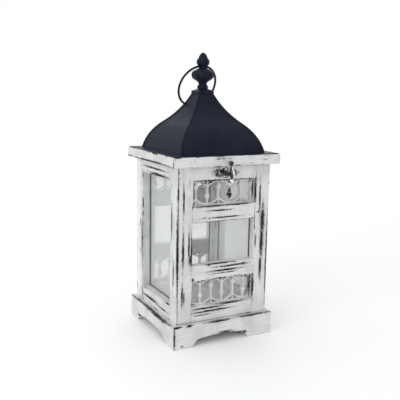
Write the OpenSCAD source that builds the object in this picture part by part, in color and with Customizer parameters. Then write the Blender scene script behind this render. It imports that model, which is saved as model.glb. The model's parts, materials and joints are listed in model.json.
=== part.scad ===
// Candle lantern: painted wood case with four glazed frames, a hinged front door with a T-handle latch,
// a four-sided ogee sheet-metal roof, and a turned finial that carries a swinging ring handle.
// Millimetres. +Z is up, the door faces -Y, and the origin is on the ground at the middle of the plinth.

/* [Case] */
// Width and depth of the case over its frames
body_w = 160; // [130:1:220]
// Height of the four frames
frame_h = 243.5; // [225:0.5:320]
// Thickness of the frame boards
board_t = 16; // [14:0.5:18]
// Width of the frame stiles
stile_w = 25.3; // [20:0.1:30]
// Height of the top rails
top_rail_h = 23; // [22:0.5:30]
// Height of the bottom rails
bottom_rail_h = 24.5; // [20:0.5:40]
// Height of the two rails between window and fretwork
mid_rail_h = 25; // [15:0.5:35]
// Thickness of the floor board
floor_t = 9; // [6:0.5:15]

/* [Glazing] */
// Depth of wood in front of the glass
glass_depth = 13; // [10:0.5:13.5]
// Thickness of the glass
glass_t = 1.6; // [1.2:0.1:2]
// Width of the rebate that the glass sits in
rebate_w = 5; // [4:0.5:7]

/* [Fretwork] */
// Height of the upper fretwork
upper_fret_h = 38; // [32:0.5:45]
// Height of the lower fretwork
lower_fret_h = 41.5; // [32:0.5:48]
// Distance between the balusters of the fretwork
fret_pitch = 19.6; // [17:0.2:24]
// Thickness of the fretwork boards
fret_t = 6; // [4:0.5:7]
// Width of the stems and hoops of the fretwork
fret_bar = 2.4; // [1.6:0.1:3.5]
// Outer radius of the hoops
hoop_r = 28; // [22:0.5:34]

/* [Plinth] */
// Width and depth of the plinth
plinth_w = 175; // [165:1:240]
// Height of the plinth
plinth_h = 36.5; // [28:0.5:60]
// Height of the arch between the feet, at its middle
arch_h = 14.5; // [8:0.5:20]
// Distance from the plinth's middle to the inner end of a foot
foot_start = 59.5; // [50:0.5:65]
// The same for the right foot at the front, which is wider
front_right_foot = 47; // [44:0.5:60]
// The same for the front foot on the left side
left_front_foot = 54.5; // [44:0.5:60]

/* [Cap and roof] */
// Width and depth of the cap board
cap_w = 182.6; // [170:0.1:250]
// Thickness of the cap board
cap_t = 15; // [10:0.5:25]
// Width of each of the four cap boards
cap_board_w = 29.5; // [29:0.1:34]
// Half width of the roof at its foot
roof_half = 72.7; // [66:0.1:90]
// Thickness of the sheet metal
sheet_t = 1.2; // [0.8:0.1:2]
// Half width of the roof flange
flange_half = 89.6; // [80:0.1:95]
// Radius of the lower, bulging part of the roof
bulge_r = 78; // [60:1:90]
// Radius of the upper, hollow part of the roof
hollow_r = 126; // [110:1:140]

/* [Finial and ring] */
// Radius of the finial's large bulb
bulb_r = 18.2; // [14:0.1:22]
// Radius of the ring handle, to the middle of its wire
ring_r = 34.7; // [30:0.1:40]
// Diameter of the ring's wire
ring_wire = 3.5; // [2.5:0.1:4]
// Angle that the ring hangs at, back from straight down
ring_lean = 25.2; // [25:0.1:30]
// Angle of the ring's hole from the X axis
ring_turn = 8.7; // [0:0.1:20]

/* [Door and latch] */
// Clear gap round the door
door_gap = 0.8; // [0.5:0.1:1.5]
// Height of the latch spindle above the ground
latch_z = 268.5; // [266:0.5:270]
// How far the handle's middle stands off the door
handle_reach = 20.5; // [20:0.5:30]
// Length of the handle's upper arm, to the middle of its ball
upper_arm = 16.5; // [12:0.5:18]
// Length of the handle's lower arm
lower_arm = 10.5; // [9:0.5:15]
// Height of each hinge
hinge_h = 28; // [20:1:40]

/* [Hidden] */
$fn = 48;
eps = 0.01;
half = body_w / 2;
inner = half - board_t;
open_half = half - stile_w;
frame_z0 = plinth_h;
frame_z1 = plinth_h + frame_h;
open_z0 = frame_z0 + bottom_rail_h;
open_z1 = frame_z1 - top_rail_h;
lower_fret_z1 = open_z0 + lower_fret_h;
window_z0 = lower_fret_z1 + mid_rail_h;
upper_fret_z0 = open_z1 - upper_fret_h;
window_z1 = upper_fret_z0 - mid_rail_h;
glass_margin = rebate_w - 0.5;

cap_half = cap_w / 2;
cap_z1 = frame_z1 + cap_t;
cap_inner = cap_half - cap_board_w;
plinth_half = plinth_w / 2;
plinth_inner = plinth_half - board_t;
arch_side_h = arch_h - 2.5;
arch_shoulder = 15;
arch_steps = 60;
block_w = 14;
block_lift = 2;

// Roof outline: a bulging arc from foot_slope to waist_slope, then a hollow arc up to top_slope
foot_slope = 78;
waist_slope = 40;
top_slope = 66;
arc_steps = 12;
roof_z0 = cap_z1 + sheet_t;
waist_half = roof_half + bulge_r * (sin(waist_slope) - sin(foot_slope));
waist_z = roof_z0 + bulge_r * (cos(waist_slope) - cos(foot_slope));
roof_top_half = waist_half - hollow_r * (sin(top_slope) - sin(waist_slope));
roof_z1 = waist_z + hollow_r * (cos(waist_slope) - cos(top_slope));
seam_w = 2.2;
seam_rise = 0.9;
nail_off = 81;
nail_x = 45;
nail_r = 0.8;
nail_head_r = 2;
nail_head_h = 0.8;
nail_len = 9;

crown_half = roof_top_half + 1;
crown_side_h = 4.8;
crown_slope_h = 3.4;
crown_slope_w = 6.6;
crown_z0 = roof_z1;
finial_z0 = crown_z0 + crown_side_h + crown_slope_h;
hole_z = finial_z0 + 35.5;
hole_r = 3.4;
rod_r = 3;
rod_in_finial = 14;
rod_below_clamp = 9;
clamp_z = roof_z1 - 9.5;

knuckle_r = 2.2;
knuckle_off = 0.2;
hinge_x = half + knuckle_r + knuckle_off;
hinge_gap = 0.6;
hinge_y = -inner + hinge_gap / 2;
pin_r = 1.1;
pin_play = 0.05;
leaf_t = 1;
leaf_w = 8.4;
knuckle_gap = 0.4;
knuckle_h = (hinge_h - 2 * knuckle_gap) / 3;
hinge_zs = [open_z0 - 6, open_z1 - hinge_h - 2];
screw_off = 5.4;
screw_r = 1.2;
screw_head_r = 2.1;
screw_len = 9;

spindle_r = 2.5;
spindle_play = 0.06;
plate_t = 1.4;
cam_t = 2;
cam_len = 20;
cam_gap = 0.8;
cam_back = half - cap_inner + cam_gap;
washer_gap = 0.3;
latch_screw_x = 12.6;
latch_pin_x = 19.4;
arm_tilt = 14;

wood = "whitesmoke";
iron = "#2b2d38";
steel = "silver";
pane = [0.75, 0.82, 0.78, 0.45];

// ---- helpers -------------------------------------------------------------------------------------

module box(x0, x1, y0, y1, z0, z1) {
    translate([x0, y0, z0]) cube([x1 - x0, y1 - y0, z1 - z0]);
}

// A board in the front frame's own plane: u across, d from the outer face inwards, z up
module board(u0, u1, d0, d1, z0, z1) {
    box(u0, u1, -half + d0, -half + d1, z0, z1);
}

// Turns a piece of the front frame to another side of the case
module on_left() { rotate([0, 0, -90]) children(); }
module on_right() { rotate([0, 0, 90]) children(); }
module on_back() { rotate([0, 0, 180]) children(); }

// The stopped rebate that the glass and its beads fill
module rebate() {
    board(-open_half - rebate_w, open_half + rebate_w, glass_depth, board_t + eps,
        open_z0 - rebate_w, open_z1 + rebate_w);
}

module upright(plan, z0, z1) {
    difference() {
        translate([0, 0, z0]) linear_extrude(z1 - z0) polygon(plan);
        rebate();
    }
}

module square_stile(u0, u1, z0 = frame_z0, z1 = frame_z1) {
    upright([[u0, -half], [u1, -half], [u1, -inner], [u0, -inner]], z0, z1);
}

module rail(z0, z1) {
    difference() {
        board(-open_half, open_half, 0, board_t, z0, z1);
        rebate();
    }
}

module mid_rails() {
    board(-open_half, open_half, 0, glass_depth, lower_fret_z1, window_z0);
    board(-open_half, open_half, 0, glass_depth, window_z1, upper_fret_z0);
}

module glass_pane() {
    w = open_half + glass_margin;
    color(pane) board(-w, w, glass_depth, glass_depth + glass_t, open_z0 - glass_margin,
        open_z1 + glass_margin);
}

module beads() {
    d0 = glass_depth + glass_t;
    z0 = open_z0 - rebate_w;
    z1 = open_z1 + rebate_w;
    w = open_half + rebate_w;
    color(wood) for (s = [-1, 1]) {
        translate([s * (open_half + rebate_w / 2), 0, 0])
            board(-rebate_w / 2, rebate_w / 2, d0, board_t, z0, z1);
        translate([0, 0, s * ((z1 - z0) / 2 - rebate_w / 2) + (z0 + z1) / 2])
            board(-open_half, open_half, d0, board_t, -rebate_w / 2, rebate_w / 2);
    }
}

// ---- fretwork ------------------------------------------------------------------------------------

fret_head = 1.2;
fret_foot = 1.8;
fret_off = 2.6;
swelling_r = 3.5;
swelling_tip = 3.1;
swell_up = 0.235;
swell_down = 0.13;

// A hoop over two bays, from the stem before to the stem after, with its crown at the origin
module hoop() {
    intersection() {
        translate([0, -hoop_r]) difference() {
            circle(r = hoop_r, $fn = 96);
            circle(r = hoop_r - fret_bar, $fn = 96);
        }
        translate([-fret_pitch, -hoop_r]) square([2 * fret_pitch, hoop_r]);
    }
}

// The turned swelling on a baluster
module swelling() {
    circle(r = swelling_r);
    for (s = [-1, 1]) translate([0, s * swelling_tip]) rotate(45) square(swelling_r, center = true);
}

// A baluster that swells above the middle under a hoop, or below it in a hoop turned upside down
module baluster(h, up) {
    square([fret_bar, h], center = true);
    translate([0, h * (up ? swell_up : -swell_down)]) swelling();
    if (up) translate([0, h / 2]) hoop();
    else translate([0, -h / 2 + fret_foot / 2]) mirror([0, 1]) hoop();
}

// A fretwork board of height h with its first baluster at a share of the pitch from the middle. up is the
// remainder of the balusters' numbers, by 2, that swell above the middle.
module fret(z0, h, shift, up) {
    stems = ceil(open_half / fret_pitch) + 2;
    translate([0, -half + glass_depth, z0 + h / 2]) rotate([90, 0, 0]) linear_extrude(fret_t)
        intersection() {
            square([2 * open_half, h], center = true);
            union() {
                difference() {
                    square([2 * open_half, h], center = true);
                    translate([-open_half + fret_bar / 2, -h / 2 + fret_foot])
                        square([2 * open_half - fret_bar, h - fret_head - fret_foot]);
                }
                for (i = [-stems:stems]) translate([(i + shift) * fret_pitch + fret_off, 0])
                    baluster(h, abs(i) % 2 == up);
            }
        }
}

module upper_fret() { color(wood) fret(upper_fret_z0, upper_fret_h, 0.5, 1); }
module lower_fret() { color(wood) fret(open_z0, lower_fret_h, 0, 1); }

// ---- plinth and floor ----------------------------------------------------------------------------

// Height of the cut-out at x, between a left foot that ends at a and a right foot that starts at b
function arch_z(x, a, b) =
    let (d = min(x - a, b - x), middle = (a + b) / 2, crest = (b - a) / 2 - arch_shoulder)
    d <= 0 ? 0
    : d < arch_shoulder ? arch_side_h / 2 * (1 - cos(180 * d / arch_shoulder))
    : arch_side_h + (arch_h - arch_side_h) * cos(90 * (x - middle) / crest);

module plinth_board(right_foot = foot_start) {
    step = (foot_start + right_foot) / arch_steps;
    cut = [for (i = [0:arch_steps]) let (x = i * step - foot_start)
        [x, arch_z(x, -foot_start, right_foot)]];
    outline = concat([[-plinth_half, 0]], cut, [[plinth_half, 0], [plinth_half, plinth_h],
        [-plinth_half, plinth_h]]);
    color(wood) intersection() {
        translate([0, -plinth_inner, 0]) rotate([90, 0, 0]) linear_extrude(board_t) polygon(outline);
        linear_extrude(plinth_h) polygon([[-plinth_half, -plinth_half], [plinth_half, -plinth_half],
            [plinth_inner, -plinth_inner], [-plinth_inner, -plinth_inner]]);
    }
}

module plinth_front() { plinth_board(front_right_foot); }
module plinth_back() { on_back() plinth_board(); }
module plinth_left() { on_left() plinth_board(left_front_foot); }
module plinth_right() { on_right() plinth_board(); }

module corner_blocks() {
    b = plinth_inner;
    color("tan") for (a = [0:90:270]) rotate([0, 0, a])
        box(b - block_w, b, b - block_w, b, block_lift, plinth_h);
}

module floor_board() {
    color(wood) box(-inner, inner, -inner + hinge_gap, inner, frame_z0, frame_z0 + floor_t);
}

// ---- left and right frames -----------------------------------------------------------------------

// The front stile is mitred, so that the closed door meets it at the corner
module left_front_stile() {
    color(wood) on_left() upright([[open_half, -half], [half, -half], [inner, -inner],
        [open_half, -inner]], frame_z0, frame_z1);
}
module left_back_stile() { color(wood) on_left() square_stile(-inner, -open_half); }
module left_top_rail() { color(wood) on_left() rail(open_z1, frame_z1); }
module left_bottom_rail() { color(wood) on_left() rail(frame_z0, open_z0); }
module left_glass() { on_left() glass_pane(); }
module left_beads() { on_left() beads(); }

module right_front_stile() {
    color(wood) difference() {
        on_right() square_stile(-inner + hinge_gap, -open_half);
        case_screw_shanks();
    }
}
module right_back_stile() { color(wood) on_right() square_stile(open_half, inner); }
module right_top_rail() { color(wood) on_right() rail(open_z1, frame_z1); }
module right_bottom_rail() { color(wood) on_right() rail(frame_z0, open_z0); }
module right_glass() { on_right() glass_pane(); }
module right_beads() { on_right() beads(); }

// ---- back frame ----------------------------------------------------------------------------------

module back_stiles() {
    color(wood) on_back() {
        square_stile(-half, -open_half);
        square_stile(open_half, half);
    }
}
module back_top_rail() { color(wood) on_back() rail(open_z1, frame_z1); }
module back_mid_rails() { color(wood) on_back() mid_rails(); }
module back_bottom_rail() { color(wood) on_back() rail(frame_z0, open_z0); }
module back_upper_fret() { on_back() upper_fret(); }
module back_lower_fret() { on_back() lower_fret(); }
module back_glass() { on_back() glass_pane(); }
module back_beads() { on_back() beads(); }

// ---- door ----------------------------------------------------------------------------------------

door_z0 = frame_z0 + door_gap;
door_z1 = frame_z1 - door_gap;
mitre_gap = door_gap * sqrt(2);

module door_free_stile() {
    color(wood) upright([[-half + mitre_gap, -half], [-open_half, -half], [-open_half, -inner],
        [-inner + mitre_gap, -inner]], door_z0, door_z1);
}
module door_hinge_stile() {
    color(wood) difference() {
        square_stile(open_half, half, door_z0, door_z1);
        door_screw_shanks();
    }
}
module door_top_rail() {
    color(wood) difference() {
        rail(open_z1, door_z1);
        at_latch() translate([0, 0, -board_t - 1]) cylinder(r = spindle_r + spindle_play, h = board_t + 2);
        latch_fixings();
    }
}
module door_mid_rails() { color(wood) mid_rails(); }
module door_bottom_rail() { color(wood) rail(door_z0, open_z0); }
module door_upper_fret() { upper_fret(); }
module door_lower_fret() { lower_fret(); }
module door_glass() { glass_pane(); }
module door_beads() { beads(); }

// ---- cap -----------------------------------------------------------------------------------------

module cap_board() {
    color(wood) difference() {
        translate([0, 0, frame_z1]) linear_extrude(cap_t) polygon([[-cap_half, -cap_half],
            [cap_half, -cap_half], [cap_inner, -cap_inner], [-cap_inner, -cap_inner]]);
        roof_nail_pair();
    }
}
module cap_front() { cap_board(); }
module cap_back() { on_back() cap_board(); }
module cap_left() { on_left() cap_board(); }
module cap_right() { on_right() cap_board(); }

// ---- roof ----------------------------------------------------------------------------------------

// Half width, height and slope of the roof at step i of the two arcs
function roof_slope(i) = i <= arc_steps ? foot_slope + (waist_slope - foot_slope) * i / arc_steps
    : waist_slope + (top_slope - waist_slope) * (i - arc_steps) / arc_steps;
function roof_r(i) = i <= arc_steps ? roof_half + bulge_r * (sin(roof_slope(i)) - sin(foot_slope))
    : waist_half - hollow_r * (sin(roof_slope(i)) - sin(waist_slope));
function roof_z(i) = i <= arc_steps ? roof_z0 + bulge_r * (cos(roof_slope(i)) - cos(foot_slope))
    : waist_z + hollow_r * (cos(waist_slope) - cos(roof_slope(i)));

// Points of the roof line moved out by rise, with the distance from the axis multiplied by k
function roof_line(rise, k) = [for (i = [0:2 * arc_steps])
    [k * (roof_r(i) + rise * sin(roof_slope(i))), roof_z(i) + rise * cos(roof_slope(i))]];
function flipped(p) = [for (i = [len(p) - 1:-1:0]) p[i]];

// Section of the sheet: the flange, the outer face raised by rise, and the inner face
module roof_section(k, rise) {
    inside = flipped(roof_line(-sheet_t, k));
    polygon(concat([[k * flange_half, cap_z1], [k * flange_half, roof_z0], [k * (roof_half + rise), roof_z0]],
        roof_line(rise, k), inside, [[k * (roof_half - sheet_t), cap_z1]]));
}

module roof_panel() {
    s = seam_w / sqrt(2);
    reach = flange_half + 1;
    color(iron) difference() {
        intersection() {
            rotate([90, 0, 0]) rotate([0, -90, 0]) translate([0, 0, -reach])
                linear_extrude(2 * reach) roof_section(1, 0);
            translate([0, 0, cap_z1 - 1]) linear_extrude(roof_z1 - cap_z1 + 3)
                polygon([[0, -s], [reach - s, -reach], [-reach + s, -reach]]);
        }
        roof_nail_pair();
    }
}
module roof_front() { roof_panel(); }
module roof_back() { on_back() roof_panel(); }
module roof_left() { on_left() roof_panel(); }
module roof_right() { on_right() roof_panel(); }

module roof_seams() {
    color(iron) for (a = [45:90:315]) rotate([0, 0, a]) rotate([90, 0, 0])
        translate([0, 0, -seam_w / 2]) linear_extrude(seam_w) intersection() {
            roof_section(sqrt(2), seam_rise);
            square([2 * flange_half, roof_z1]);
        }
}

// Two nails on the front flange; head adds the flat head above the sheet
module roof_nail_pair(head = false) {
    for (s = [-1, 1]) translate([s * nail_x, -nail_off, 0]) {
        translate([0, 0, cap_z1 - nail_len]) cylinder(r = nail_r, h = nail_len + sheet_t + eps);
        if (head) translate([0, 0, roof_z0]) cylinder(r = nail_head_r, h = nail_head_h);
    }
}
module roof_nails() { color(iron) for (a = [0:90:270]) rotate([0, 0, a]) roof_nail_pair(true); }

// ---- crown, finial and ring ----------------------------------------------------------------------

module crown_profile() {
    top = crown_half - crown_slope_w;
    translate([0, crown_z0]) polygon([[-crown_half, 0], [crown_half, 0], [crown_half, crown_side_h],
        [top, crown_side_h + crown_slope_h], [-top, crown_side_h + crown_slope_h],
        [-crown_half, crown_side_h]]);
}
module roof_crown() {
    color(iron) difference() {
        intersection_for(a = [0, 90]) rotate([0, 0, a]) rotate([90, 0, 0])
            translate([0, 0, -crown_half]) linear_extrude(2 * crown_half) crown_profile();
        translate([0, 0, crown_z0 - 1]) cylinder(r = rod_r, h = 20);
    }
}

// Turning points of the finial, as [radius, height above its foot]
finial_pts = [[8.6, 1], [8.7, 3.2], [8, 5], [6.6, 7], [6.9, 9.1], [8.8, 11.3], [13.3, 14.1], [16.8, 17],
    [bulb_r, 21.6], [17.5, 25.2], [16, 27.3], [11.4, 29.9], [7.6, 31.7], [6.3, 33.4], [6.5, 35], [8.2, 36.4],
    [9.8, 38.9], [10.4, 41.2], [10, 44], [8.7, 46.2], [7.1, 48.6], [6, 51.2], [4.5, 53.8], [2.4, 55.7]];
finial_h = 56.5;
curve_steps = 4;

// Point at t from 0 to 1 on the smooth curve from p1 to p2, with neighbours p0 and p3
function smooth(p0, p1, p2, p3, t) = 0.5 * (2 * p1 + (p2 - p0) * t
    + (2 * p0 - 5 * p1 + 4 * p2 - p3) * t * t + (3 * p1 - p0 - 3 * p2 + p3) * t * t * t);
function turned(p) = let(last = len(p) - 1)
    [for (i = [0:last - 1]) for (j = [0:curve_steps - 1])
        smooth(p[max(i - 1, 0)], p[i], p[i + 1], p[min(i + 2, last)], j / curve_steps)];

module finial() {
    color(iron) translate([0, 0, finial_z0]) difference() {
        rotate_extrude($fn = 64) polygon(concat([[0, 0], [8, 0]], turned(finial_pts),
            [finial_pts[len(finial_pts) - 1], [0, finial_h]]));
        translate([0, 0, -1]) cylinder(r = rod_r, h = rod_in_finial + 1);
        translate([0, 0, hole_z - finial_z0]) rotate([0, 0, ring_turn]) rotate([0, 90, 0])
            translate([0, 0, -20]) cylinder(r = hole_r, h = 40);
    }
}

module finial_rod() {
    color(steel) translate([0, 0, clamp_z - rod_below_clamp])
        cylinder(r = rod_r, h = finial_z0 + rod_in_finial - clamp_z + rod_below_clamp);
}

// Square plate and hexagon nut that hold the finial from inside the roof
module finial_clamp() {
    w = 13.2;
    color(steel) difference() {
        union() {
            box(-w, w, -w, w, clamp_z, clamp_z + 1.6);
            translate([0, 0, clamp_z - 5]) cylinder(r = 5.8, h = 5 + eps, $fn = 6);
        }
        translate([0, 0, clamp_z - 10]) cylinder(r = rod_r, h = 20);
    }
}

module ring_handle() {
    color(iron) translate([0, 0, hole_z]) rotate([0, 0, ring_turn]) rotate([ring_lean, 0, 0])
        translate([0, 0, -ring_r]) rotate([90, 0, 0]) rotate_extrude($fn = 96)
            translate([ring_r, 0]) circle(d = ring_wire, $fn = 24);
}

// ---- hinges --------------------------------------------------------------------------------------

module hinge_screw() {
    rotate([0, -90, 0]) translate([0, 0, -leaf_t]) {
        cylinder(r1 = screw_head_r, r2 = screw_r, h = leaf_t);
        cylinder(r = screw_r, h = leaf_t + screw_len);
    }
}
module at_hinge_screws(y) {
    for (z = hinge_zs, s = [0.2, 0.8]) translate([half, y, z + s * hinge_h]) children();
}
door_screw_y = hinge_y - screw_off;
case_screw_y = hinge_y + screw_off;
module door_screw_shanks() { at_hinge_screws(door_screw_y) hinge_screw(); }
module case_screw_shanks() { at_hinge_screws(case_screw_y) hinge_screw(); }

// One leaf of one hinge. dir is -1 for the door's leaf and 1 for the case's; own lists its knuckles.
module hinge_leaf(dir, own, bore) {
    far = hinge_y + dir * leaf_w;
    near = hinge_y + dir * (knuckle_r + 0.35);
    difference() {
        union() {
            box(half, half + leaf_t, min(far, near), max(far, near), 0, hinge_h);
            for (k = own) translate([0, 0, k * (knuckle_h + knuckle_gap)]) {
                box(half, half + leaf_t, min(far, hinge_y), max(far, hinge_y), 0, knuckle_h);
                translate([hinge_x, hinge_y, 0]) cylinder(r = knuckle_r, h = knuckle_h);
            }
        }
        translate([hinge_x, hinge_y, -1]) cylinder(r = bore, h = hinge_h + 2);
    }
}
module hinge_door_leaves() {
    color(steel) difference() {
        for (z = hinge_zs) translate([0, 0, z]) hinge_leaf(-1, [1], pin_r + pin_play);
        door_screw_shanks();
    }
}
module hinge_case_leaves() {
    color(steel) difference() {
        for (z = hinge_zs) translate([0, 0, z]) hinge_leaf(1, [0, 2], pin_r);
        case_screw_shanks();
    }
}
module hinge_pins() {
    color(steel) for (z = hinge_zs) translate([hinge_x, hinge_y, z]) {
        cylinder(r = pin_r, h = hinge_h);
        translate([0, 0, hinge_h]) cylinder(r = 1.7, h = 0.8);
    }
}
module hinge_door_screws() { color(steel) door_screw_shanks(); }
module hinge_case_screws() { color(steel) case_screw_shanks(); }

// ---- latch ---------------------------------------------------------------------------------------

// Moves a piece so that its z = 0 is the door's front face and its +z points out of the door
module at_latch() { translate([0, -half, latch_z]) rotate([90, 0, 0]) children(); }

// The two screws and two small pins of the latch plate; head adds their domes
module latch_fixings(head = false) {
    at_latch() for (s = [-1, 1]) {
        translate([s * latch_screw_x, 0, -8]) cylinder(r = 1.3, h = 8 + plate_t);
        translate([s * latch_pin_x, 0, -6]) cylinder(r = 0.8, h = 6 + plate_t);
        if (head) translate([s * latch_screw_x, 0, plate_t]) dome(3.4, 2);
        if (head) translate([s * latch_pin_x, 0, plate_t]) dome(1.7, 1);
    }
}

// A round head of radius r and height h
module dome(r, h) {
    sphere_r = (r * r + h * h) / (2 * h);
    rotate_extrude() intersection() {
        translate([0, h - sphere_r]) circle(r = sphere_r, $fn = 64);
        square([r, h]);
    }
}

module latch_plate() {
    color(steel) difference() {
        at_latch() {
            linear_extrude(plate_t) {
                circle(r = 8.2);
                for (s = [-1, 1]) {
                    translate([s * latch_screw_x, 0]) circle(r = 6.4);
                    translate([s * latch_pin_x, 0]) circle(r = 3.6);
                }
            }
            translate([0, 0, plate_t]) linear_extrude(1) difference() {
                circle(r = 6.6);
                circle(r = 5);
            }
        }
        latch_fixings();
        at_latch() translate([0, 0, -1]) cylinder(r = spindle_r + spindle_play, h = 10);
    }
}
module latch_screws() { color(steel) latch_fixings(true); }

// One arm of the handle along +z, from the middle of the hub to its ball. Heights are shares of its length
arm_pts = [[3.5, 0], [3.7, 0.2], [3.1, 0.43], [2, 0.63], [1.8, 0.74]];
arm_neck_r = 1.8;
ball_r = 3.7;
module handle_arm_solid(arm) {
    rotate_extrude() polygon(concat([[0, 0]], turned([for (p = arm_pts) [p[0], p[1] * arm]]),
        [[arm_neck_r, arm], [0, arm]]));
    translate([0, 0, arm]) sphere(r = ball_r);
}

// The spindle through door and cam, and the turned stem outside, as [radius, height over the door's face]
module handle_stem() {
    base = plate_t + 0.35;
    foot = -cam_back - cam_t;
    rotate_extrude() polygon(concat([[0, foot], [spindle_r, foot], [spindle_r, base],
        [4.6, base]], turned([[4.6, base + 0.8], [3.1, base + 3], [2.7, base + 5.6], [3.9, base + 7.4],
        [2.8, base + 9.4], [2.9, handle_reach - 3]]), [[2.9, handle_reach], [0, handle_reach]]));
}
module latch_handle() {
    color(steel) at_latch() {
        handle_stem();
        translate([0, 0, handle_reach]) {
            sphere(r = 3.9);
            rotate([-90 - arm_tilt, 0, 0]) handle_arm_solid(upper_arm);
            rotate([90 + arm_tilt, 0, 0]) handle_arm_solid(lower_arm);
        }
    }
}

// The cam hangs down inside the door; turned up, it stands behind the front cap board
module latch_cam() {
    color(steel) at_latch() difference() {
        union() {
            translate([0, 0, -cam_back]) cylinder(r = 4.6, h = cam_back - board_t - washer_gap);
            translate([0, 0, -cam_back - cam_t]) linear_extrude(cam_t) {
                circle(r = 5.6);
                translate([-3.6, -cam_len + 3.6]) square([7.2, cam_len - 3.6]);
                translate([0, -cam_len + 3.6]) circle(r = 3.6);
            }
        }
        translate([0, 0, -cam_back - cam_t - 1]) cylinder(r = spindle_r, h = 20);
    }
}

// ---- output --------------------------------------------------------------------------------------

plinth_front();
plinth_back();
plinth_left();
plinth_right();
corner_blocks();
floor_board();
left_front_stile();
left_back_stile();
left_top_rail();
left_bottom_rail();
left_glass();
left_beads();
right_front_stile();
right_back_stile();
right_top_rail();
right_bottom_rail();
right_glass();
right_beads();
back_stiles();
back_top_rail();
back_mid_rails();
back_bottom_rail();
back_upper_fret();
back_lower_fret();
back_glass();
back_beads();
door_free_stile();
door_hinge_stile();
door_top_rail();
door_mid_rails();
door_bottom_rail();
door_upper_fret();
door_lower_fret();
door_glass();
door_beads();
cap_front();
cap_back();
cap_left();
cap_right();
roof_front();
roof_back();
roof_left();
roof_right();
roof_seams();
roof_nails();
roof_crown();
finial();
finial_rod();
finial_clamp();
ring_handle();
hinge_door_leaves();
hinge_case_leaves();
hinge_pins();
hinge_door_screws();
hinge_case_screws();
latch_plate();
latch_screws();
latch_handle();
latch_cam();
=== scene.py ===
import math

import bmesh
import bpy
from mathutils import Matrix, Quaternion, Vector, noise
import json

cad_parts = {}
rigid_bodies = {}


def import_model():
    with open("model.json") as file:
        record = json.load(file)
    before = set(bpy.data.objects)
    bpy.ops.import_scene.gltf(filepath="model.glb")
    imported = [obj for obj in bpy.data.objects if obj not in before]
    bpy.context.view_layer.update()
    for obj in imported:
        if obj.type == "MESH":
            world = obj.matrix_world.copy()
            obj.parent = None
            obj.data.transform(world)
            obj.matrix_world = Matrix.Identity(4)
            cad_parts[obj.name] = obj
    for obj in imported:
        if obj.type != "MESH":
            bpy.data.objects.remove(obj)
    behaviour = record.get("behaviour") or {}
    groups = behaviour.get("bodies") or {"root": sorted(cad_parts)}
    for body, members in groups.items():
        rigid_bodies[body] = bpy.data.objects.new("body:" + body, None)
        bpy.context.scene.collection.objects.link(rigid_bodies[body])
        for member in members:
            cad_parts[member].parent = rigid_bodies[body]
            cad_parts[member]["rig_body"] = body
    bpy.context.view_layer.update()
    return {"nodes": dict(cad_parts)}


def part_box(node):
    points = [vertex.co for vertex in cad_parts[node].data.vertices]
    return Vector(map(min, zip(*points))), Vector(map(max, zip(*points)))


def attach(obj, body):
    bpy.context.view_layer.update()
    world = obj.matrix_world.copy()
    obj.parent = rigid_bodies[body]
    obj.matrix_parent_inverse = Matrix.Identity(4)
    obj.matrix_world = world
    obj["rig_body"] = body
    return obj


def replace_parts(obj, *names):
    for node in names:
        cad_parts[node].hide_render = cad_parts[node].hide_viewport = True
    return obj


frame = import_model()

# Places and lengths of wear are in millimetres, because the boards are. Everything else is in metres.
MM = 0.001


# ---- node trees -----------------------------------------------------------------------------------

class Shader:
    """A new material, with short calls that add nodes to it. Each call returns the node's result."""

    def __init__(self, name):
        self.material = bpy.data.materials.new(name)
        self.material.use_nodes = True
        self.tree = self.material.node_tree
        self.surface = self.tree.nodes["Principled BSDF"]
        place = self.tree.nodes.new("ShaderNodeTexCoord").outputs["Object"]
        self.at = self.vector("MULTIPLY", place, (1 / MM,) * 3)

    def put(self, socket, value):
        if isinstance(value, bpy.types.NodeSocket):
            self.tree.links.new(value, socket)
        elif value is not None:
            socket.default_value = value

    def node(self, kind, *values, **settings):
        made = self.tree.nodes.new("ShaderNode" + kind)
        for key, value in settings.items():
            setattr(made, key, value)
        for socket, value in zip(made.inputs, values):
            self.put(socket, value)
        return made

    def math(self, operation, a, b=None):
        return self.node("Math", a, b, operation=operation).outputs[0]

    def vector(self, operation, a, b=None, c=None):
        return self.node("VectorMath", a, b, c, operation=operation).outputs[0]

    def length(self, a):
        return self.node("VectorMath", a, operation="LENGTH").outputs["Value"]

    def parts(self, a):
        return self.node("SeparateXYZ", a).outputs

    def noise(self, at, size, detail=3.0, roughness=0.55):
        """Noise from 0 to 1 whose largest features are about size millimetres across."""
        return self.node("TexNoise", at, None, 1 / size, detail, roughness).outputs[0]

    def step(self, value, low, high, start=0.0, end=1.0):
        made = self.node("MapRange", interpolation_type="SMOOTHSTEP")
        for name, v in zip(("Value", "From Min", "From Max", "To Min", "To Max"),
                           (value, low, high, start, end)):
            self.put(made.inputs[name], v)
        return made.outputs[0]

    def mix(self, share, a, b):
        made = self.node("Mix", data_type="RGBA")
        for socket, v in zip((made.inputs[0], made.inputs[6], made.inputs[7]), (share, a, b)):
            self.put(socket, (*v, 1) if isinstance(v, tuple) else v)
        return made.outputs[2]

    def bump(self, height, depth, strength=1.0):
        """Bumps of up to depth metres, on the surface's normal."""
        made = self.node("Bump")
        for name, v in (("Height", height), ("Distance", depth), ("Strength", strength)):
            self.put(made.inputs[name], v)
        self.put(self.surface.inputs["Normal"], made.outputs[0])

    def finish(self, **values):
        """Sets the surface's sockets, named with _ for a space, and returns the material."""
        for name, v in values.items():
            socket = self.surface.inputs[name.replace("_", " ").title().replace("Ior", "IOR")]
            self.put(socket, (*v, 1) if isinstance(v, tuple) and len(v) == 3 else v)
        return self.material


# ---- painted wood ---------------------------------------------------------------------------------

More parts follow.
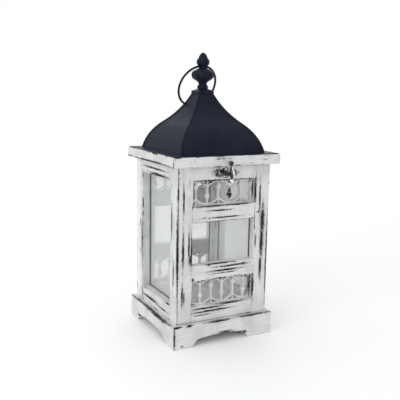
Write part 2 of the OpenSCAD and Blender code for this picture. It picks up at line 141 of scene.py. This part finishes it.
CHALK, CHALK_SHADE = (0.68, 0.68, 0.67), (0.57, 0.572, 0.570)
# Lighter paint for the back, right and inner boards: painted light, standing in for the light that reaches
# the inside of the lantern.
PAINTED_LIGHT_CHALK, PAINTED_LIGHT_CHALK_DARK = (0.80, 0.80, 0.79), (0.71, 0.715, 0.71)
THIN_PAINT = (0.27, 0.25, 0.24)
WOOD_DARK, WOOD_RED = (0.008, 0.007, 0.008), (0.036, 0.021, 0.017)
STRETCH = 0.05
# How far wear reaches in from an edge, and how much noise breaks up the outline of wear
EDGE_REACH = 2.3
EDGE_BROKEN, MARK_RAGGED, MARK_BROKEN = 2.8, 1.8, 4.8


def stretched(grain, share):
    """Scales that draw a pattern out along the grain axis, 0 to 2."""
    return tuple(share if i == grain else 1.0 for i in range(3))


def painted_wood(name, grain, marks=(), ends=False, rubbed=1.0, coat=(CHALK_SHADE, CHALK)):
    """Chalky paint over dark wood. marks are the places where the paint is rubbed through, and a few of
    painted shade, as (centre, half size) in millimetres. ends is True for boards whose end corners wear
    through too, rubbed scales the wear of edges, and coat is the paint's darker and lighter colour."""
    s = Shader(name)
    fibre = s.noise(s.vector("MULTIPLY", s.at, stretched(grain, STRETCH)), 1.3, 5, 0.6)
    ragged = s.noise(s.vector("MULTIPLY", s.at, stretched(grain, 0.16)), 1.7, 5, 0.62)
    crumbs = s.noise(s.vector("MULTIPLY", s.at, stretched(grain, 0.5)), 1.4, 4, 0.75)
    patch = s.noise(s.at, 30, 3)
    clump = s.noise(s.vector("ADD", s.at, (310, 170, 90)), 17, 2)
    uneven, broken = (s.math("SUBTRACT", n, 0.5) for n in (ragged, crumbs))

    # Distance to the nearest edge of the board, whose corners are stored with its mesh
    low, high = (s.node("Attribute", attribute_name=n).outputs["Vector"] for n in ("board_low", "board_high"))
    inside = s.vector("MINIMUM", s.vector("SUBTRACT", s.at, low), s.vector("SUBTRACT", high, s.at))
    d = list(s.parts(inside))
    if ends:
        smaller, larger = s.math("MINIMUM", d[0], d[1]), s.math("MAXIMUM", d[0], d[1])
        edge = s.math("MAXIMUM", smaller, s.math("MINIMUM", larger, d[2]))
    else:
        a, b = (d[i] for i in range(3) if i != grain)
        edge = s.math("MAXIMUM", a, b)
    along = s.noise(s.vector("MULTIPLY", s.at, stretched(grain, 0.5)), 15, 3)
    reach = s.step(along, 0.47, 0.70, -0.3, EDGE_REACH * rubbed)
    rub = s.math("SUBTRACT", s.math("ADD", reach, s.math("MULTIPLY", broken, EDGE_BROKEN)), edge)
    bare_and_shade = s.step(rub, 0.0, 0.4)

    # Fine lines along the grain, in clumps. A board without marks of its own has more of them
    least, thick = (0.63, 0.54) if marks else (0.59, 0.50)
    line = s.math("MULTIPLY", s.step(fibre, least, least + 0.05), s.step(clump, thick, thick + 0.12))
    bare_and_shade = s.math("MAXIMUM", bare_and_shade, line)

    near = None
    for centre, half in marks:
        off = s.vector("DIVIDE", s.vector("SUBTRACT", s.at, centre), half)
        near = s.length(off) if near is None else s.math("MINIMUM", near, s.length(off))
    if near is not None:
        # Inside a mark the paint is rubbed through; a few marks paint shade in deep corners of the door as
        # well.
        wear_and_shade = s.math("ADD", s.math("SUBTRACT", 1.15, near), s.math("MULTIPLY", uneven, MARK_RAGGED))
        wear_and_shade = s.math("ADD", wear_and_shade, s.math("MULTIPLY", broken, MARK_BROKEN))
        bare_and_shade = s.math("MAXIMUM", bare_and_shade, s.step(wear_and_shade, 0.0, 0.28))
        halo = s.step(wear_and_shade, -0.55, 0.1, 0.0, 0.22)
    else:
        halo = s.step(rub, -0.9, 0.1, 0.0, 0.2)

    chalk = s.mix(s.step(patch, 0.35, 0.62), *coat)
    chalk = s.mix(s.step(fibre, 0.50, 0.68, 0.0, 0.17), chalk, THIN_PAINT)
    chalk = s.mix(halo, chalk, THIN_PAINT)
    wood = s.mix(s.step(s.noise(s.at, 9, 3), 0.45, 0.62), WOOD_DARK, WOOD_RED)
    paint_top = s.math("SUBTRACT", 1.0, bare_and_shade)
    s.bump(s.math("ADD", paint_top, s.math("MULTIPLY", fibre, 0.5)), 0.35 * MM, 0.7)
    return s.finish(base_color=s.mix(bare_and_shade, chalk, wood), roughness=s.step(bare_and_shade, 0, 1, 0.68, 0.82),
                    specular_ior_level=0.3)


MARK_DEPTH = 4.0


def on_front(depth, *places):
    """Marks on a face that looks along -Y at that depth, from (x, z, half width, half height)."""
    return [((x, -depth, z), (hx, MARK_DEPTH, hz)) for x, z, hx, hz in places]


def on_left(depth, *places):
    """Marks on a face that looks along -X at that depth, from (y, z, half width, half height)."""
    return [((-depth, y, z), (MARK_DEPTH, hy, hz)) for y, z, hy, hz in places]


X, Y, Z = range(3)
# Distance of the outer faces from the middle, and how far the fretwork lies behind the case's
CASE, PLINTH, CAP = 80.0, 87.5, 91.3
FRET_DEPTH = 7

# The marks at x 55.2 are painted shade on the hinge stile's reveal, beside the right ends of the frets.
stile_marks = on_front(
    CASE, (-79.5, 150, 1.7, 58), (-70, 229, 1.4, 22), (-70.3, 152, 1.6, 27), (-71.3, 83, 1.6, 15),
    (-68, 78, 1.1, 9), (-60.5, 158, 1.6, 22), (-56, 150, 1.5, 23), (-57.5, 138, 2.2, 9),
    (-78, 272, 0.9, 1.1), (-78, 262, 0.9, 1.1),
    (63.5, 226, 1.4, 25), (69.5, 190, 3.4, 24), (69, 154, 3.2, 26), (68, 112, 2.4, 18),
    (78.8, 128, 1.3, 62), (57.5, 156, 1.2, 10), (61, 203, 3.0, 1.3),
    (55.2, 238, 1.7, 20), (55.2, 83, 1.6, 19))
# The line at z 257.5 under the top rail is paint wear and painted shadow of the rail over the fret.
rail_marks = on_front(
    CASE, (-20, 257.5, 36, 1.3), (30, 257.4, 26, 0.9), (-20, 218.4, 24, 1.4), (22, 218.5, 24, 1.0),
    (-8, 211, 18, 1.2), (0, 200, 28, 1.1), (0, 194.3, 50, 0.6), (-11, 127, 18, 1.1), (-25.5, 126.6, 3, 1.5),
    (15, 121.5, 28, 1.4), (36, 122, 3, 2.2), (3, 115.3, 30, 1.6), (2, 111, 22, 0.7), (-53.5, 104.8, 2.4, 2.8),
    (-6, 102.9, 9, 1.2), (0, 102.6, 46, 0.5), (14, 60.2, 22, 1.4), (-28, 57.3, 26, 1.5),
    (-18, 51.8, 34, 1.5), (-35, 47, 14, 0.8))
# The strips at x 46.5 and 53.5 are painted shade at the right ends of the frets beside the hinge stile, and
# the marks at z 254 are paint wear and painted shadow under the top rail.
fret_marks = on_front(
    CASE - FRET_DEPTH, (12.4, 233, 6.0, 5.2), (12.4, 239.5, 2.6, 4.6), (53.5, 240, 1.8, 16),
    (46.5, 241, 1.0, 15), (47, 84, 1.3, 14), (53.5, 84, 1.8, 16), (-34, 254, 4, 1.0), (-22, 254, 3, 1.0))
plinth_front_marks = on_front(
    PLINTH, (-83, 35.3, 5, 1.6), (-61, 35.3, 5, 1.5), (-12, 35.4, 20, 1.4), (53, 35.8, 32, 1.2),
    (-87, 20, 1.7, 15), (2, 15.8, 12, 1.6), (36, 9, 5, 3.0), (-74, 4, 3, 1.2))
left_rail_marks = on_left(
    CASE, (10, 268, 38, 1.5), (-8, 259.5, 34, 2.1), (22, 48.5, 27, 2.3), (-25, 46, 22, 1.1),
    (-20, 279, 40, 1.0))
left_stile_marks = on_left(
    CASE, (68.5, 232, 1.3, 15), (57.5, 138, 2.1, 38), (-59.5, 196, 1.8, 26), (-66, 112, 1.8, 18),
    (-78.5, 150, 2.5, 54))
plinth_left_marks = on_left(
    PLINTH, (0, 35.6, 84, 1.3), (-25, 34, 38, 3.0), (-87, 20, 1.7, 15), (50, 10, 5, 2.2))
cap_left_marks = on_left(CAP, (-10, 281.2, 50, 1.6), (-88, 286, 1.4, 5))

paint = {
    "front_rails": painted_wood("paint_front_rails", X, rail_marks),
    "front_stiles": painted_wood("paint_front_stiles", Z, stile_marks),
    "frets": painted_wood("paint_frets", Z, fret_marks, rubbed=0.3),
    # The back, right and inner boards take the lighter coat, which paints light onto them.
    "upright": painted_wood("paint_upright", Z, coat=(PAINTED_LIGHT_CHALK_DARK, PAINTED_LIGHT_CHALK)),
    "along_x": painted_wood("paint_along_x", X, coat=(PAINTED_LIGHT_CHALK_DARK, PAINTED_LIGHT_CHALK)),
    "along_y": painted_wood("paint_along_y", Y, coat=(PAINTED_LIGHT_CHALK_DARK, PAINTED_LIGHT_CHALK)),
    "left_rails": painted_wood("paint_left_rails", Y, left_rail_marks),
    "left_stiles": painted_wood("paint_left_stiles", Z, left_stile_marks),
    "plinth_front": painted_wood("paint_plinth_front", X, plinth_front_marks, ends=True),
    "plinth_left": painted_wood("paint_plinth_left", Y, plinth_left_marks, ends=True),
    "cap_left": painted_wood("paint_cap_left", Y, cap_left_marks, ends=True),
    "ends_x": painted_wood("paint_ends_x", X, ends=True),
    "ends_y": painted_wood("paint_ends_y", Y, ends=True),
}


# ---- other materials ------------------------------------------------------------------------------

def bare_wood():
    s = Shader("bare_softwood")
    grain = s.noise(s.vector("MULTIPLY", s.at, stretched(Z, 0.08)), 2.2, 5, 0.6)
    s.bump(grain, 0.3 * MM, 0.6)
    return s.finish(base_color=s.mix(grain, (0.19, 0.155, 0.12), (0.44, 0.385, 0.31)), roughness=0.75)


def black_metal():
    """Satin blue-black paint on metal, with a faint orange peel and a little dust."""
    s = Shader("satin_black_metal")
    cloud = s.noise(s.at, 38, 4)
    scuff = s.noise(s.vector("MULTIPLY", s.at, (1, 1, 0.25)), 3.0, 5, 0.65)
    base = s.mix(s.step(cloud, 0.35, 0.65), (0.0090, 0.0105, 0.0190), (0.0130, 0.0150, 0.0260))
    base = s.mix(s.step(scuff, 0.62, 0.76, 0.0, 0.25), base, (0.030, 0.032, 0.040))
    s.bump(s.noise(s.at, 0.9, 2), 0.05 * MM, 0.4)
    return s.finish(base_color=base, roughness=s.step(cloud, 0.3, 0.7, 0.40, 0.48), specular_ior_level=0.10,
                    specular_tint=(0.75, 0.82, 1.0))


# Heights over which the handle's lower ball takes a painted highlight and its upper ball a painted dark
# reflection, and depths over which the plate gives way to the handle
LOWER_BALL, UPPER_BALL, PLATE_FRONT = (259, 263), (279, 282), (82.3, 84.0)
# The way that the handle's painted highlight faces; the opposite side is painted dark.
HIGHLIGHT_WAY = (0.75, -0.25, 0.35)


def silver_metal():
    """Bright plating, darkened on the plate as tarnished plating and painted dark reflection, with painted
    shade and highlight on the handle.
    """
    s = Shader("bright_silver")
    place = s.parts(s.at)
    # The plate is darkened in blotches, as tarnished plating and painted dark reflection.
    low_down = s.step(s.math("MULTIPLY", place[Y], -1.0), *PLATE_FRONT, 1.0, 0.0)
    blotch = s.noise(s.at, 2.6, 4)
    on_plate = s.math("MULTIPLY", low_down, s.step(blotch, 0.40, 0.58, 0.25, 1.0))
    normal = s.node("TexCoord").outputs["Normal"]
    # rubbed is a painted highlight: bright where the handle faces right, front and up and on its lower ball,
    # and painted dark on the other side and on its upper ball.
    rubbed = s.node("VectorMath", normal, HIGHLIGHT_WAY, operation="DOT_PRODUCT").outputs["Value"]
    rubbed = s.math("ADD", rubbed, s.step(place[Z], *LOWER_BALL, 0.6, 0.0))
    rubbed = s.math("SUBTRACT", rubbed, s.step(place[Z], *UPPER_BALL, 0.0, 0.8))
    painted_shade_and_tarnish = s.math("MAXIMUM", on_plate, s.step(rubbed, -0.02, 0.22, 0.96, 0.0))
    s.bump(s.noise(s.at, 1.1, 3), 0.06 * MM, 0.5)
    return s.finish(base_color=s.mix(painted_shade_and_tarnish, (0.90, 0.89, 0.86), (0.022, 0.021, 0.018)), metallic=1.0,
                    roughness=s.step(blotch, 0.3, 0.7, 0.12, 0.26))


def plain_steel():
    s = Shader("zinc_steel")
    lines = s.noise(s.vector("MULTIPLY", s.at, (1, 1, 0.06)), 0.5, 4)
    cloud = s.noise(s.at, 5, 3)
    s.bump(lines, 0.04 * MM, 0.5)
    return s.finish(base_color=s.mix(cloud, (0.30, 0.30, 0.30), (0.56, 0.56, 0.55)), metallic=1.0,
                    roughness=s.step(lines, 0.3, 0.7, 0.32, 0.5))


# Half width, foot and top of the openings
OPENING, OPENING_LOW, OPENING_HIGH = 54.7, 61.0, 257.0


def window_glass():
    """A thin pane: most light goes straight through, some is veiled by dust, and it mirrors edge-on. A
    dark line of painted shade shows round the opening, where the pane meets its frame."""
    s = Shader("window_glass")
    dust = s.noise(s.at, 26, 4)
    s.finish(base_color=s.mix(dust, (0.84, 0.86, 0.84), (0.88, 0.90, 0.88)), roughness=0.05, ior=1.45)
    clear = s.node("BsdfTransparent", (0.957, 0.959, 0.956, 1))
    fresnel = s.node("Fresnel", 1.45).outputs[0]
    share = s.math("ADD", s.math("MULTIPLY", fresnel, 0.5), s.step(dust, 0.35, 0.75, 0.08, 0.12))
    pane = s.node("MixShader", share, clear.outputs[0], s.surface.outputs[0])
    x, y, z = (s.math("ABSOLUTE", c) for c in s.parts(s.at))
    side = s.math("SUBTRACT", OPENING, s.math("MINIMUM", x, y))
    ends = s.math("MINIMUM", s.math("SUBTRACT", z, OPENING_LOW), s.math("SUBTRACT", OPENING_HIGH, z))
    # Painted shade along the edges of the opening, darkest at the sides.
    edge_shade_mask = s.math("MAXIMUM", s.step(side, 1.1, 1.7, 0.93, 0.0), s.step(ends, 0.5, 1.0, 0.8, 0.0))
    painted_edge_shade = s.node("BsdfDiffuse", (0.030, 0.032, 0.034, 1))
    both = s.node("MixShader", edge_shade_mask, pane.outputs[0], painted_edge_shade.outputs[0])
    s.put(s.tree.nodes["Material Output"].inputs["Surface"], both.outputs[0])
    return s.material


wood_block = bare_wood()
black = black_metal()
silver = silver_metal()
steel = plain_steel()
glass = window_glass()


# ---- meshes ---------------------------------------------------------------------------------------

def islands(bm):
    """The connected parts of a mesh, as lists of vertices."""
    left = set(bm.verts)
    while left:
        found, waiting = set(), [left.pop()]
        while waiting:
            v = waiting.pop()
            found.add(v)
            for e in v.link_edges:
                other = e.other_vert(v)
                if other in left:
                    left.discard(other)
                    waiting.append(other)
        yield list(found)


def copy_of(node, dissolve=True):
    """A bmesh of a CAD node with its corners joined and its flat faces whole."""
    bm = bmesh.new()
    bm.from_mesh(frame["nodes"][node].data)
    bmesh.ops.remove_doubles(bm, verts=bm.verts, dist=0.002 * MM)
    if dissolve:
        bmesh.ops.dissolve_limit(bm, angle_limit=math.radians(0.6), verts=bm.verts, edges=bm.edges)
    return bm


def rounded(bm, radius, segments=2, least=30):
    """Rounds the edges where faces meet at more than least degrees."""
    sharp = [e for e in bm.edges if len(e.link_faces) == 2 and e.calc_face_angle(0) > math.radians(least)]
    bmesh.ops.bevel(bm, geom=sharp, offset=radius, offset_type="OFFSET", segments=segments, profile=0.5,
                    affect="EDGES", clamp_overlap=True)


def piece(node, bm, material, name, smooth=40):
    """Makes the object that stands for a CAD node, and gives it the node's body."""
    mesh = bpy.data.meshes.new(name)
    bm.to_mesh(mesh)
    bm.free()
    mesh.shade_smooth()
    mesh.set_sharp_from_angle(angle=math.radians(smooth))
    made = bpy.data.objects.new(name, mesh)
    bpy.context.scene.collection.objects.link(made)
    mesh.materials.append(material)
    normals = made.modifiers.new("flat_faces", "WEIGHTED_NORMAL")
    normals.keep_sharp = True
    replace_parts(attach(made, frame["nodes"][node]["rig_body"]), node)
    return made


# Length of the slices that a board is cut into, and depth of its deepest chips
SLICE, CHIP = 4.0 * MM, 0.9 * MM
# Waves per metre of the coarse and fine chips, the level below which nothing is chipped, and how many
# edge radii the chips reach in from an edge
COARSE, FINE, UNCHIPPED, CHIP_REACH = 90, 310, 0.12, 1.6


def worn_board(node, grain, material, radius=0.6 * MM, chip=CHIP):
    """A board with rounded edges that are dented and chipped along their length."""
    bm = copy_of(node)
    low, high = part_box(node)
    axis = Vector([float(i == grain) for i in range(3)])
    for k in range(1, int((high - low)[grain] / SLICE)):
        bmesh.ops.bisect_plane(bm, geom=bm.verts[:] + bm.edges[:] + bm.faces[:],
                               plane_co=low + axis * SLICE * k, plane_no=axis)
    rounded(bm, radius)
    bmesh.ops.recalc_face_normals(bm, faces=bm.faces)
    bm.normal_update()
    corners = [bm.verts.layers.float_vector.new(n) for n in ("board_low", "board_high")]
    for verts in islands(bm):
        lo = Vector([min(v.co[i] for v in verts) for i in range(3)])
        hi = Vector([max(v.co[i] for v in verts) for i in range(3)])
        moves = []
        for v in verts:
            v[corners[0]], v[corners[1]] = lo / MM, hi / MM
            d = sorted(min(v.co[i] - lo[i], hi[i] - v.co[i]) for i in range(3))
            if d[1] < CHIP_REACH * radius:
                rough = noise.noise(v.co * COARSE) + 0.5 * noise.noise(v.co * FINE)
                moves.append((v, max(0.0, rough - UNCHIPPED) * chip))
        for v, depth in moves:
            v.co -= v.normal * depth
        for v in verts:
            v.co = [min(max(c, a), b) for c, a, b in zip(v.co, lo, hi)]
    return piece(node, bm, material, "worn_" + node)


def metal_piece(node, material, radius=0.0, smooth=32):
    bm = copy_of(node, dissolve=radius > 0)
    if radius:
        rounded(bm, radius)
    return piece(node, bm, material, "cast_" + node, smooth)


# ---- boards ---------------------------------------------------------------------------------------

boards = {
    "plinth_front": (X, "plinth_front"), "plinth_back": (X, "ends_x"),
    "plinth_left": (Y, "plinth_left"), "plinth_right": (Y, "ends_y"),
    "cap_front": (X, "ends_x"), "cap_back": (X, "ends_x"),
    "cap_left": (Y, "cap_left"), "cap_right": (Y, "ends_y"),
    "floor_board": (X, "along_x"),
    "left_front_stile": (Z, "left_stiles"), "left_back_stile": (Z, "left_stiles"),
    "left_top_rail": (Y, "left_rails"), "left_bottom_rail": (Y, "left_rails"),
    "right_front_stile": (Z, "upright"), "right_back_stile": (Z, "upright"),
    "right_top_rail": (Y, "along_y"), "right_bottom_rail": (Y, "along_y"),
    "back_stiles": (Z, "upright"), "back_top_rail": (X, "along_x"),
    "back_mid_rails": (X, "along_x"), "back_bottom_rail": (X, "along_x"),
    "door_free_stile": (Z, "front_stiles"), "door_hinge_stile": (Z, "front_stiles"),
    "door_top_rail": (X, "front_rails"), "door_mid_rails": (X, "front_rails"),
    "door_bottom_rail": (X, "front_rails"),
}
for node, (grain, finish) in boards.items():
    worn_board(node, grain, paint[finish])
for node in ("left_beads", "right_beads", "back_beads", "door_beads"):
    worn_board(node, Z, paint["upright"], radius=0.35 * MM, chip=0.0)
for node in ("door_upper_fret", "door_lower_fret", "back_upper_fret", "back_lower_fret"):
    worn_board(node, Z, paint["frets"], radius=0.3 * MM, chip=0.0)
worn_board("corner_blocks", Z, wood_block, radius=0.5 * MM)


# ---- metal ----------------------------------------------------------------------------------------

LOBES, LOBE_DEPTH = 8, 0.07
VOXEL = 0.42 * MM
# Height above the finial's foot and half height of the bulb and the bud
SWELLINGS = ((21.6 * MM, 8.5 * MM), (41.2 * MM, 6.0 * MM))
# Radius in millimetres at which the lobes begin, and the width over which they grow to full depth
LOBE_START, LOBE_GROWTH = 4.0, 2.0


def lobed_finial():
    """The finial as a casting, with shallow lobes round its bulb and its bud."""
    bm = copy_of("finial", dissolve=False)
    source = bpy.data.meshes.new("finial_source")
    bm.to_mesh(source)
    bm.free()
    holder = bpy.data.objects.new("finial_source", source)
    bpy.context.scene.collection.objects.link(holder)
    remesh = holder.modifiers.new("remesh", "REMESH")
    remesh.mode, remesh.voxel_size = "VOXEL", VOXEL
    graph = bpy.context.evaluated_depsgraph_get()
    cast = bpy.data.meshes.new_from_object(holder.evaluated_get(graph))
    bpy.data.objects.remove(holder)
    bm = bmesh.new()
    bm.from_mesh(cast)
    for _ in range(2):
        bmesh.ops.smooth_vert(bm, verts=bm.verts, factor=0.5,
                              use_axis_x=True, use_axis_y=True, use_axis_z=True)
    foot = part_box("finial")[0].z
    for v in bm.verts:
        share = max(math.exp(-((v.co.z - foot - at) / width) ** 4) for at, width in SWELLINGS)
        round_about = 0.5 - 0.5 * math.cos(LOBES * math.atan2(v.co.y, v.co.x))
        radius = math.hypot(v.co.x, v.co.y)
        outer = min(1.0, max(0.0, radius / MM - LOBE_START) / LOBE_GROWTH)
        v.co.xy *= 1 - LOBE_DEPTH * share * outer * (1 - round_about ** 0.7)
    return piece("finial", bm, black, "cast_finial", smooth=60)


lobed_finial()
for node in ("roof_front", "roof_back", "roof_left", "roof_right"):
    metal_piece(node, black, smooth=12)
for node, radius in (("roof_seams", 0.3), ("roof_crown", 0.6)):
    metal_piece(node, black, radius * MM, smooth=35)
for node in ("ring_handle", "roof_nails"):
    metal_piece(node, black)
for node, radius in (("hinge_door_leaves", 0.15), ("hinge_case_leaves", 0.15), ("finial_clamp", 0.3)):
    metal_piece(node, steel, radius * MM)
for node in ("hinge_pins", "hinge_door_screws", "hinge_case_screws", "finial_rod"):
    metal_piece(node, steel)
for node, radius in (("latch_plate", 0.25), ("latch_cam", 0.25)):
    metal_piece(node, silver, radius * MM)
for node in ("latch_handle", "latch_screws"):
    metal_piece(node, silver)
for node in ("left_glass", "right_glass", "back_glass", "door_glass"):
    frame["nodes"][node].data.materials.clear()
    frame["nodes"][node].data.materials.append(glass)


# Distance of the plate's screws from its middle, and number, ring radius and half sizes (along, across,
# rise) of the petals round each screw and of the beads round the middle
SCREW_OFF = 12.6 * MM
PETALS, PETAL_RING, PETAL = 9, 4.85 * MM, (1.25 * MM, 0.95 * MM, 0.75 * MM)
BEADS, BEAD_RING, BEAD = 26, 7.4 * MM, (0.55 * MM, 0.7 * MM, 0.55 * MM)
PLATE_FACE = -80.0 * MM - 1.4 * MM


def rosettes():
    """A ring of petals round each screw of the latch plate, and a beaded rim round its middle."""
    low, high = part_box("latch_plate")
    middle = (low + high) / 2
    bm = bmesh.new()

    def ring(x, z, count, radius, size):
        along, across, rise = size
        for k in range(count):
            turn = math.tau * k / count
            shape = Matrix.Diagonal((along, rise, across, 1))
            spot = (x + radius * math.cos(turn), PLATE_FACE, z + radius * math.sin(turn))
            place = Matrix.Translation(spot) @ Matrix.Rotation(-turn, 4, "Y") @ shape
            bmesh.ops.create_icosphere(bm, subdivisions=2, radius=1, matrix=place)

    for side in (-1, 1):
        ring(middle.x + side * SCREW_OFF, middle.z, PETALS, PETAL_RING, PETAL)
    ring(middle.x, middle.z, BEADS, BEAD_RING, BEAD)
    mesh = bpy.data.meshes.new("latch_rosettes")
    bm.to_mesh(mesh)
    bm.free()
    mesh.shade_smooth()
    mesh.materials.append(silver)
    made = bpy.data.objects.new("latch_rosettes", mesh)
    bpy.context.scene.collection.objects.link(made)
    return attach(made, "door")


rosettes()


# ---- floor, light and camera ----------------------------------------------------------------------

# Radius in metres, and the distances in millimetres over which the floor fades away
FLOOR_RADIUS, FADE_START, FADE_END = 3.0, 350.0, 1500.0


def floor():
    """A pale disc that fades into the background at its rim."""
    bm = bmesh.new()
    bmesh.ops.create_circle(bm, cap_ends=True, segments=96, radius=FLOOR_RADIUS)
    mesh = bpy.data.meshes.new("floor")
    bm.to_mesh(mesh)
    bm.free()
    made = bpy.data.objects.new("floor", mesh)
    bpy.context.scene.collection.objects.link(made)
    s = Shader("pale_floor")
    s.finish(base_color=(0.92, 0.92, 0.92), roughness=0.9, specular_ior_level=0.1)
    fade = s.step(s.length(s.at), FADE_START, FADE_END)
    clear = s.node("BsdfTransparent", (1, 1, 1, 1))
    both = s.node("MixShader", fade, s.surface.outputs[0], clear.outputs[0])
    s.put(s.tree.nodes["Material Output"].inputs["Surface"], both.outputs[0])
    mesh.materials.append(s.material)


LOOKED_AT = Vector((0, 0, 0.22))


def soft_light(name, place, size, power, tint=(1, 1, 1)):
    """A square lamp that looks at the middle of the lantern."""
    data = bpy.data.lights.new(name, "AREA")
    data.size, data.energy, data.color = size, power, tint
    made = bpy.data.objects.new(name, data)
    bpy.context.scene.collection.objects.link(made)
    made.location = place
    made.rotation_euler = (LOOKED_AT - Vector(place)).to_track_quat("-Z", "Y").to_euler()


# Where the room is brightest, and its strength away from there and towards it
BRIGHT_WAY = (-0.55, -0.15, 0.82)
ROOM = (("From Min", -0.5), ("From Max", 0.9), ("To Min", 0.62), ("To Max", 1.0))


def backdrop():
    """White all round as seen, and softer as a light. Plain colours, so that white is shown as white."""
    bpy.context.scene.view_settings.view_transform = "Standard"
    world = bpy.data.worlds.new("white_room")
    bpy.context.scene.world = world
    world.use_nodes = True
    tree = world.node_tree
    soft = tree.nodes["Background"]
    soft.inputs["Color"].default_value = (0.97, 0.98, 1.0, 1)
    # Brighter from the left and above than from the right
    way = tree.nodes.new("ShaderNodeTexCoord")
    lean = tree.nodes.new("ShaderNodeVectorMath")
    lean.operation = "DOT_PRODUCT"
    lean.inputs[1].default_value = BRIGHT_WAY
    share = tree.nodes.new("ShaderNodeMapRange")
    for name, value in ROOM:
        share.inputs[name].default_value = value
    tree.links.new(way.outputs["Generated"], lean.inputs[0])
    tree.links.new(lean.outputs["Value"], share.inputs["Value"])
    tree.links.new(share.outputs[0], soft.inputs["Strength"])
    seen = tree.nodes.new("ShaderNodeBackground")
    seen.inputs["Color"].default_value = (1, 1, 1, 1)
    choose = tree.nodes.new("ShaderNodeMixShader")
    path = tree.nodes.new("ShaderNodeLightPath")
    tree.links.new(path.outputs["Is Camera Ray"], choose.inputs[0])
    tree.links.new(soft.outputs[0], choose.inputs[1])
    tree.links.new(seen.outputs[0], choose.inputs[2])
    tree.links.new(choose.outputs[0], tree.nodes["World Output"].inputs["Surface"])


# Azimuth, elevation and roll in degrees, place in metres, and sensor and lens in millimetres
VIEW, CAMERA_AT, SENSOR, LENS = (-27.75, 10.27, 1.01), (-0.47047, -0.89209, 0.39556), 36.0, 56.0


def camera():
    """Looks a little down on the near left corner."""
    azimuth, elevation, roll = (math.radians(a) for a in VIEW)
    data = bpy.data.cameras.new("camera")
    data.sensor_width, data.lens = SENSOR, LENS
    made = bpy.data.objects.new("camera", data)
    bpy.context.scene.collection.objects.link(made)
    back = Vector((math.sin(azimuth) * math.cos(elevation), -math.cos(azimuth) * math.cos(elevation),
                   math.sin(elevation)))
    made.rotation_mode = "QUATERNION"
    made.rotation_quaternion = (-back).to_track_quat("-Z", "Y") @ Quaternion((0, 0, 1), roll)
    made.location = CAMERA_AT
    bpy.context.scene.camera = made


floor()
backdrop()
soft_light("key_left", (-1.5, -0.7, 0.9), 1.1, 8)
soft_light("fill_front", (0.4, -1.6, 0.35), 1.2, 2, (0.96, 0.98, 1.0))
soft_light("top", (0.1, 0.3, 1.7), 1.2, 3)
soft_light("behind", (0.7, 1.5, 0.8), 1.2, 4)
camera()
